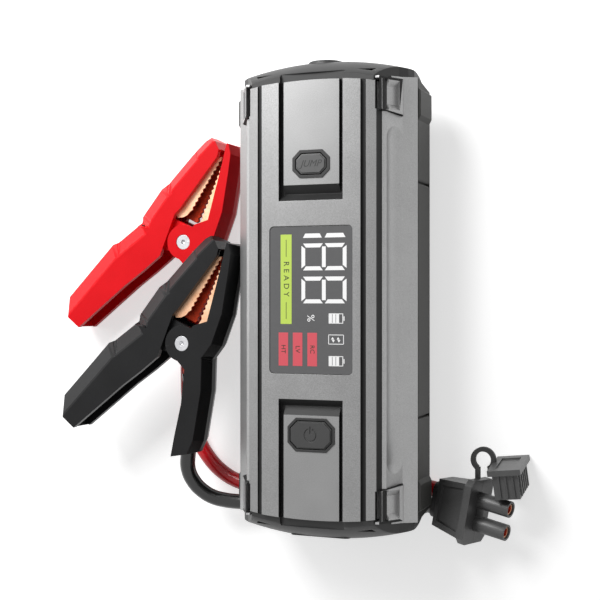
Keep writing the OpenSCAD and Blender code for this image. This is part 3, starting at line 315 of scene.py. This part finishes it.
# %% Metals
jaw_copper = grained(
    "stamped_copper", "#FBD0AE", "#EDB187", 0.9, 0.15, (0.3, 0.42), cloud_mm=9, Metallic=0.75
)
# Painted shade: a darker, redder copy of the copper for the jaws' inner faces and for the plug
# bullets below x = 90 mm.
painted_shade_copper = grained(
    "copper_painted_shade", "#C8401C", "#8E240F", 0.8, 0.3, (0.4, 0.6), cloud_mm=5, Metallic=0.7
)
nickel_steel = grained(
    "nickel_plated_steel", "#D2D2D4", "#B4B4B8", 0.6, 0.15, (0.26, 0.38), Metallic=1.0
)
gold_plate = grained(
    "gold_plated_brass", "#D9A84E", "#B98532", 0.6, 0.1, (0.22, 0.34), Metallic=1.0
)
torch_mirror = grained(
    "vacuum_plated_reflector", "#EFEFEF", "#E2E2E2", 1.2, 0.05, (0.08, 0.14), Metallic=1.0
)
board_green = grained("board_solder_mask", "#23603A", "#1A4A2C", 0.6, 0.3, (0.35, 0.5))
cell_film = grained("blue_cell_film", "#4C6E9A", "#3C5C86", 1.5, 0.2, (0.25, 0.4))
socket_blue = grained("moulded_blue_nylon", "#33406A", "#27325A", 0.6, 0.3, (0.45, 0.55))

# %% [markdown]
# The display sits behind tinted acrylic. Off, such a window is an even mid grey with a crisp
# shine; the lit parts of the display look like flat, bright paint. They glow a little, so that
# they keep their colour when a shadow falls on them.

# %% Display finishes
window_acrylic = grained(
    "tinted_acrylic", "#636364", "#5E5E5F", 2.0, 0.0, (0.16, 0.2), cloud_mm=40
)


def lit_colour(name, colour, glow):
    """A bright, even colour that also glows a little."""
    material = grained(name, colour, colour, 1.0, 0.0, (0.4, 0.5))
    surface = material.node_tree.nodes["Principled BSDF"]
    surface.inputs["Emission Color"].default_value = linear(colour)
    surface.inputs["Emission Strength"].default_value = glow
    return material


lit_white = lit_colour("lit_white_segment", "#F0F0F0", 0.18)
lit_green = lit_colour("lit_green_bar", "#B9D258", 0.15)
lit_red = lit_colour("lit_red_bar", "#D4545F", 0.1)
printed_dark = grained("printed_dark_ink", "#2E3020", "#262818", 1.0, 0.0, (0.5, 0.6))
engraved_dark = grained("engraved_dark_fill", "#242424", "#1E1E1E", 1.0, 0.0, (0.5, 0.6))
torch_phosphor = lit_colour("led_phosphor", "#F1E37A", 0.2)

torch_polycarbonate = bpy.data.materials.new("clear_polycarbonate")
torch_polycarbonate.use_nodes = True
clear = torch_polycarbonate.node_tree.nodes["Principled BSDF"]
clear.inputs["Base Color"].default_value = linear("#F4F8FA")
clear.inputs["Roughness"].default_value = 0.04
clear.inputs["IOR"].default_value = 1.58
clear.inputs["Transmission Weight"].default_value = 1.0

# %% [markdown]
# ## Softening the moulded parts
# A CAD solid has perfectly sharp edges, and no moulding has. A real edge is a small radius that
# catches a line of light, so the parts that show most are copied, their triangles are joined
# back into whole faces, and a Bevel modifier rounds their sharp edges by a small radius. Broad
# faces are shaded flat, and only small ones and narrow strips are blended, so no fan of light
# spreads over a flat face. Each copy then stands for its CAD part. Small and inner parts are
# used as they are.

# %% Copy a CAD part with rounded edges
FLAT_AREA = 20 * MM * MM
FLAT_WIDTH = 1.8 * MM
PAD_AREA = 25 * MM * MM
PAD_TILT = (0.25, 0.97)
WELD = 0.002 * MM
ONE_PLANE = math.radians(0.6)
SHARP_EDGE = math.radians(28)


def is_flat(face):
    """Broad faces are flat. Small faces and narrow strips belong to a curve."""
    area = face.calc_area()
    longest = max(edge.calc_length() for edge in face.edges)
    return area > FLAT_AREA and area / longest > FLAT_WIDTH


def raise_pads(shape, margin_mm, height_mm):
    """Lifts a pad out of each large slanted facet, a little in from its edges."""
    facets = [
        face for face in shape.faces
        if PAD_TILT[0] < abs(face.normal.z) < PAD_TILT[1] and face.calc_area() > PAD_AREA
    ]
    bmesh.ops.inset_individual(
        shape, faces=facets, thickness=margin_mm * MM, depth=height_mm * MM,
        use_even_offset=True,
    )
    return len(facets)


def softened(node, material, radius_mm, other=None, pads=None):
    """other is a second finish and a test that picks its faces by centre and normal. pads is the
    margin and the height of the pads on slanted facets. Clearing the materials also resets which
    finish each face has, so it comes before the faces are told apart."""
    mesh = nodes[node].data.copy()
    mesh.name = "soft_" + node
    mesh.materials.clear()
    shape = bmesh.new()
    shape.from_mesh(mesh)
    bmesh.ops.remove_doubles(shape, verts=shape.verts, dist=WELD)
    bmesh.ops.dissolve_limit(
        shape, angle_limit=ONE_PLANE, verts=shape.verts, edges=shape.edges
    )
    if pads:
        print(node, "gets", raise_pads(shape, *pads), "pads")
    bmesh.ops.recalc_face_normals(shape, faces=shape.faces)
    for face in shape.faces:
        face.smooth = not is_flat(face)
        place = face.calc_center_median() / MM
        face.material_index = int(bool(other and other[1](place, face.normal)))
    shape.to_mesh(mesh)
    shape.free()
    mesh.materials.append(material)
    if other:
        mesh.materials.append(other[0])
    piece = bpy.data.objects.new("soft_" + node, mesh)
    scene.collection.objects.link(piece)
    bevel = piece.modifiers.new("edge_radius", "BEVEL")
    bevel.width = radius_mm * MM
    bevel.segments = 2
    bevel.limit_method = "ANGLE"
    bevel.angle_limit = SHARP_EDGE
    bevel.use_clamp_overlap = True
    bevel.harden_normals = True
    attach(piece, body_of_node(node))
    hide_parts(node)
    return piece


def painted(node, material):
    """A finish for a CAD part that is used as it is."""
    mesh = nodes[node].data
    mesh.materials.clear()
    mesh.materials.append(material)


# %% [markdown]
# The front shell carries three finishes. Its face has one lacquer, and its side strips a lighter
# copy of the same lacquer, painted light. The long grooves, the steep wall of each shoulder and
# the trough round each key panel take a dark finish, painted shade. The faces of the mesh are
# told apart by where they lie, in millimetres.

# %% Where each finish lies on the shell and the bumpers
SIDE_FINISH, FACE_FINISH = 0, 2


def in_painted_shade(place, normal):
    """The grooves, the shoulders' walls and the troughs, without the key panels: the faces that
    get the painted shade.
    """
    x, y, z = abs(place.x), abs(place.y), place.z
    groove = 26.9 < x < 29.7 and z < 59.4
    wall = 34.1 < x < 36.6 and 52.9 < z < 58.6
    trough = x < 17.9 and y > 49 and 55.9 < z < 59.9
    panel = normal.z > 0.99 and abs(z - 58.8) < 0.1
    return groove or wall or (trough and not panel)


def is_face(place, normal):
    """The level parts on top, the key panels included."""
    return normal.z > 0.9 and place.z > 58.2


def beside_fin(place, normal):
    """The slope and the wall between a bumper's fin and its pocket, and the slot's floor: the
    faces that get the painted shade.
    """
    x, z = abs(place.x), place.z
    slope = 37.9 < x < 39.05 and z > 52.4
    slot_floor = x < 36.6 and z < 54 and normal.z > 0.9
    return slope or slot_floor


# %% Dress the pack
# The side strips take the lighter lacquer, painted light, and the grooves, walls and troughs the
# dark finish, painted shade.
front = softened(
    "front_shell", painted_lighter_lacquer, 0.3, other=(painted_recess_shade, in_painted_shade)
)
front.data.materials.append(face_lacquer)
for face in front.data.polygons:
    if face.material_index == SIDE_FINISH and is_face(face.center / MM, face.normal):
        face.material_index = FACE_FINISH

for corner in ("top_left", "top_right", "bottom_left", "bottom_right"):
    # The bumpers take the lighter lacquer, painted light, and beside their fins the dark finish,
    # painted shade.
    softened(
        "bumper_" + corner, painted_lighter_lacquer, 0.25, other=(painted_recess_shade, beside_fin)
    )
softened("key_frames", black_abs, 0.15)
softened("back_shell", graphite_abs, 0.5)
softened("side_pads_left", graphite_abs, 0.4)
softened("side_pads_right", graphite_abs, 0.4)
softened("top_cap", black_abs, 0.5)
softened("bottom_cap", black_abs, 0.5)
softened("port_cover", black_abs, 0.3)
softened("torch_bezel", black_abs, 0.3)
softened("jump_button", start_key_abs, 0.3)
softened("power_button", key_abs, 0.3)
softened("screen_window", window_acrylic, 0.15)
for node, material in {
    "rubber_feet": soft_rubber, "rear_screws": nickel_steel, "cover_pin": nickel_steel,
    "torch_lens": torch_polycarbonate, "torch_reflector": torch_mirror,
    "torch_led": torch_phosphor, "power_socket": socket_blue,
    "socket_contacts": gold_plate, "usb_port": nickel_steel, "display_module": black_abs,
    "button_switches": black_abs, "circuit_board": board_green,
    "battery_tray": black_abs, "battery_cells": cell_film,
}.items():
    painted(node, material)

# %% Dress the clamps
JAW_INSIDE = 5.2
for colour, nylon, slot, middle in (
    ("red", red_nylon, "red_plastic", RED_PIVOT.z),
    ("black", black_nylon, "clamp_black_plastic", BLACK_PIVOT.z),
):
    softened(colour + "_grip", nylon, 0.5, pads=(1.0, 0.45))
    softened(colour + "_base", nylon, 0.5)
    for part in ("_grip_jaw", "_base_jaw"):
        # The jaws' inner faces take the dark red copper, painted shade.
        softened(
            colour + part, jaw_copper, 0.12,
            other=(painted_shade_copper, lambda place, normal: abs(place.z - middle) < JAW_INSIDE),
        )
    softened(colour + "_rivet", nickel_steel, 0.25)
    painted(colour + "_spring", nickel_steel)

# %% Dress the plug and its cap
BRIGHT_FROM_X = 90
plug_pieces = [
    softened("plug_top_shell", plug_abs, 0.4),
    softened("plug_bottom_shell", plug_abs, 0.4),
    softened("plug_tubes", plug_abs, 0.3),
    # Below x = 90 mm the bullets take the dark red copper, painted shade.
    softened(
        "plug_bullets", jaw_copper, 0.15,
        other=(painted_shade_copper, lambda place, normal: place.x < BRIGHT_FROM_X),
    ),
    softened("plug_gland", soft_rubber, 0.5),
    softened("dust_cap", plug_abs, 0.35),
    softened("cap_strap", soft_rubber, 0.5),
]

# %% Dress the leads, which stand in for the CAD leads
clamp_pieces = {
    colour: [
        bpy.data.objects["soft_" + colour + part]
        for part in ("_grip", "_base", "_grip_jaw", "_base_jaw", "_rivet")
    ] + [nodes[colour + "_spring"]]
    for colour in ("red", "black")
}
for piece, material, line, length, node, on_it in (
    (red_lead, red_silicone, red_line, red_length, "red_lead", clamp_pieces["red"]),
    (black_lead, black_silicone, black_line, black_length, "black_lead",
     clamp_pieces["black"] + plug_pieces),
):
    piece.data.materials.append(material)
    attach(piece, "pack")
    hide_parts(node)

# %% [markdown]
# ## The display
# Segments, bars and icons are thin slabs that lie a hair above the window. Each starts as a
# unit cube that is scaled and moved into place; slanting an end is a move of the vertices on
# one side. One mesh holds all slabs of a colour, because they share a finish and never move.

# %% Slab helper
WINDOW_TOP = 59.6
SLAB_LOW, SLAB_HIGH = WINDOW_TOP + 0.01, WINDOW_TOP + 0.06
window_low, window_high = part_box("screen_window")
WINDOW_MID = (Vector(window_low) + Vector(window_high)) / 2 / MM


def slab(shape, x0, x1, y0, y1, slant_x=(0, 0), slant_y=(0, 0)):
    """A thin plate in the window's own millimetres. slant_x draws in the ends at the low and
    high x side, slant_y those at the low and high y side."""
    made = bmesh.ops.create_cube(shape, size=1.0)["verts"]
    bmesh.ops.scale(shape, vec=(x1 - x0, y1 - y0, SLAB_HIGH - SLAB_LOW), verts=made)
    middle = Vector(((x0 + x1) / 2, (y0 + y1) / 2, (SLAB_LOW + SLAB_HIGH) / 2))
    for vert in made:
        sx = 1 if vert.co.x > 0 else -1
        sy = 1 if vert.co.y > 0 else -1
        pull_y = slant_x[0] if sx < 0 else slant_x[1]
        pull_x = slant_y[0] if sy < 0 else slant_y[1]
        vert.co.y -= sy * pull_y
        vert.co.x -= sx * pull_x
    bmesh.ops.translate(shape, vec=middle + Vector((WINDOW_MID.x, WINDOW_MID.y, 0)), verts=made)
    return made


def finished(shape, name, material, body):
    """Makes a piece of a bmesh that was drawn in millimetres."""
    bmesh.ops.scale(shape, vec=(MM, MM, MM), verts=shape.verts)
    mesh = bpy.data.meshes.new(name)
    shape.to_mesh(mesh)
    shape.free()
    mesh.materials.append(material)
    piece = bpy.data.objects.new(name, mesh)
    scene.collection.objects.link(piece)
    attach(piece, body)
    return piece


# %% Digits: seven-segment figures that read down the pack
SEG = 2.05


def figure_eight(shape, x0, x1, y0, y1):
    """All seven segments of one digit."""
    mid = (x0 + x1) / 2
    cut = SEG * 0.75
    for x in (x0, x1 - SEG):
        inner = (0, cut) if x == x0 else (cut, 0)
        slab(shape, x, x + SEG, y0 + 1.1, y1 - 1.1, slant_x=inner)
    slab(shape, mid - SEG / 2, mid + SEG / 2, y0 + 1.6, y1 - 1.6)
    for left, right in ((x0 + 0.9, mid - 0.55), (mid + 0.55, x1 - 0.9)):
        slab(shape, left, right, y0, y0 + SEG, slant_y=(0, cut))
        slab(shape, left, right, y1 - SEG, y1, slant_y=(cut, 0))


white = bmesh.new()
figure_eight(white, -4.95, 19.5, 15.1, 28.8)
figure_eight(white, -4.95, 19.5, -1.7, 11.9)
slab(white, -4.1, 6.2, 31.7, 33.9, slant_y=(0, 1.2))
slab(white, 7.7, 18.9, 31.7, 33.9, slant_y=(0, 1.2))

# %% Battery icons and the charging icon
for low in (-11.9, -33.5):
    high = low + 5.1
    for step in range(3):
        slab(white, 10.1 + 1.9 * step, 11.7 + 1.9 * step, low + 0.3, high - 0.3)
    for edge in (low, high - 0.35):
        slab(white, 10.0, 17.6, edge, edge + 0.35)
    slab(white, 9.9, 10.2, low, high)
    slab(white, 17.3, 17.7, low, high)
    slab(white, 17.9, 18.4, low + 1.4, high - 1.4)
for edge in (-22.5, -17.85):
    slab(white, 9.9, 17.8, edge, edge + 0.35)
for edge in (9.7, 17.7):
    slab(white, edge, edge + 0.35, -22.3, -17.7)
for x in (11.2, 14.2):
    slab(white, x, x + 1.6, -20.0, -18.8, slant_y=(0, 0.7))
    slab(white, x + 0.4, x + 2.0, -21.4, -20.2, slant_y=(0.7, 0))
finished(white, "lit_white_segments", lit_white, "pack")

# %% Status bars
green = bmesh.new()
slab(green, -16.5, -10.4, -12.3, 33.6)
finished(green, "lit_green_status_bar", lit_green, "pack")
red = bmesh.new()
for left in (-17.6, -9.7, -1.7):
    slab(red, left, left + 5.25, -33.75, -16.7)
finished(red, "lit_red_status_bars", lit_red, "pack")

# %% [markdown]
# Words on a display are outlines cut from flat shapes. Blender's text object makes them, but a
# text object can't be moved into its mesh, so it is turned into a mesh first and then placed.

# %% Flat generic words
WORD_THICK = 0.05


def words(name, text, size, place, turn, material, body, slope=0.0, spacing=1.0):
    """A flat word with its middle at place, in millimetres."""
    data = bpy.data.curves.new(name, "FONT")
    data.space_character = spacing
    data.body = text
    data.size = size
    data.align_x = "CENTER"
    data.align_y = "CENTER"
    data.extrude = WORD_THICK / 2
    data.shear = slope
    data.resolution_u = 4
    source = bpy.data.objects.new(name + "_source", data)
    scene.collection.objects.link(source)
    bpy.context.view_layer.update()
    mesh = bpy.data.meshes.new_from_object(source)
    bpy.data.objects.remove(source)
    mesh.transform(
        Matrix.Scale(MM, 4) @ Matrix.Translation(place) @ Matrix.Rotation(turn, 4, "Z")
    )
    mesh.materials.clear()
    mesh.materials.append(material)
    piece = bpy.data.objects.new(name, mesh)
    scene.collection.objects.link(piece)
    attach(piece, body)
    return piece


DOWN = math.radians(-90)
words("ready_word", "READY", 4.2, (WINDOW_MID.x - 13.4, 10.8, WINDOW_TOP + 0.1), DOWN,
      printed_dark, "pack", spacing=1.6)
words("percent_sign", "%", 5.6, (WINDOW_MID.x, -9.3, WINDOW_TOP + 0.06), DOWN,
      lit_white, "pack")
for text, x in (("HT", -15.0), ("LV", -7.1), ("RC", 0.9)):
    words("status_" + text.lower(), text, 3.4, (WINDOW_MID.x + x, -25.2, WINDOW_TOP + 0.1),
          DOWN, printed_dark, "pack")
lines = bmesh.new()
for low, high in ((22.2, 30.9), (-9.7, -1.1)):
    slab(lines, -13.55, -13.25, low, high)
bmesh.ops.translate(lines, vec=(0, 0, 0.05), verts=lines.verts)
finished(lines, "status_bar_lines", printed_dark, "pack")
button_low, button_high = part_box("jump_button")
JUMP_MID = (Vector(button_low) + Vector(button_high)) / 2 / MM
words("start_word", "JUMP", 4.9, (JUMP_MID.x, JUMP_MID.y, button_high[2] / MM + 0.02), 0,
      engraved_dark, "start_key", slope=0.35)

# %% [markdown]
# ## Studio
# A white table, one soft light beyond the torch end, a weaker one on the clamps' side and an even
# pale surrounding. Both lamps lie towards the torch end, and their broad shine in the satin
# lacquer shades the shell from light to dark along its length. The camera sees a white room, and
# so do reflections and glass, so the ground is white without stronger lamps.

# %% Rays that see the white background
def sees_background(tree):
    """1 for camera, glossy and transmission rays, and 0 for all others."""
    paths = add_node(tree, "ShaderNodeLightPath")
    seen = paths.outputs["Is Camera Ray"]
    for kind in ("Is Glossy Ray", "Is Transmission Ray"):
        seen = add_node(
            tree, "ShaderNodeMath", {"operation": "MAXIMUM"}, {0: seen, 1: paths.outputs[kind]}
        ).outputs["Value"]
    return seen


# %% Floor
FLOOR_HALF = 3.0
FLOOR_DROP = 0.3 * MM
FLOOR_GLOW = 0.6
floor_shape = bmesh.new()
bmesh.ops.create_grid(floor_shape, x_segments=1, y_segments=1, size=FLOOR_HALF)
floor_mesh = bpy.data.meshes.new("table_top")
floor_shape.to_mesh(floor_mesh)
floor_shape.free()
floor = bpy.data.objects.new("table_top", floor_mesh)
floor.location.z = -FLOOR_DROP
scene.collection.objects.link(floor)
table_white = bpy.data.materials.new("white_table_laminate")
table_white.use_nodes = True
tree = table_white.node_tree
surface = tree.nodes["Principled BSDF"]
surface.inputs["Base Color"].default_value = linear("#E9E9E9")
surface.inputs["Roughness"].default_value = 0.9
surface.inputs["Specular IOR Level"].default_value = 0.1
glow = add_node(
    tree, "ShaderNodeMath", {"operation": "MULTIPLY", 1: FLOOR_GLOW}, {0: sees_background(tree)}
)
surface.inputs["Emission Color"].default_value = (1, 1, 1, 1)
tree.links.new(glow.outputs["Value"], surface.inputs["Emission Strength"])
floor_mesh.materials.append(table_white)

# %% Surrounding light
WHITE = (1, 1, 1, 1)
AMBIENT = 0.22
world = bpy.data.worlds.new("studio_room")
world.use_nodes = True
scene.world = world
tree = world.node_tree
tree.nodes.clear()
ambient = add_node(tree, "ShaderNodeBackground", {"Color": WHITE, "Strength": AMBIENT})
room = add_node(tree, "ShaderNodeBackground", {"Color": WHITE, "Strength": 1.0})
surrounding = add_node(
    tree, "ShaderNodeMixShader",
    links={0: sees_background(tree), 1: ambient.outputs[0], 2: room.outputs[0]},
)
add_node(tree, "ShaderNodeOutputWorld", links={"Surface": surrounding.outputs[0]})


# %% Soft lights
def soft_light(name, place, target, size, watts):
    data = bpy.data.lights.new(name, "AREA")
    data.shape = "SQUARE"
    data.size = size
    data.energy = watts
    lamp = bpy.data.objects.new(name, data)
    lamp.location = place
    lamp.rotation_euler = (Vector(target) - Vector(place)).to_track_quat("-Z", "Y").to_euler()
    scene.collection.objects.link(lamp)


soft_light("key_softbox", (-0.3, 0.48, 0.5), (0, 0.03, 0.03), 0.4, 5.6)
soft_light("side_softbox", (-0.6, 0.2, 0.42), (0, 0.02, 0.03), 0.4, 0.7)
scene.view_settings.view_transform = "Standard"
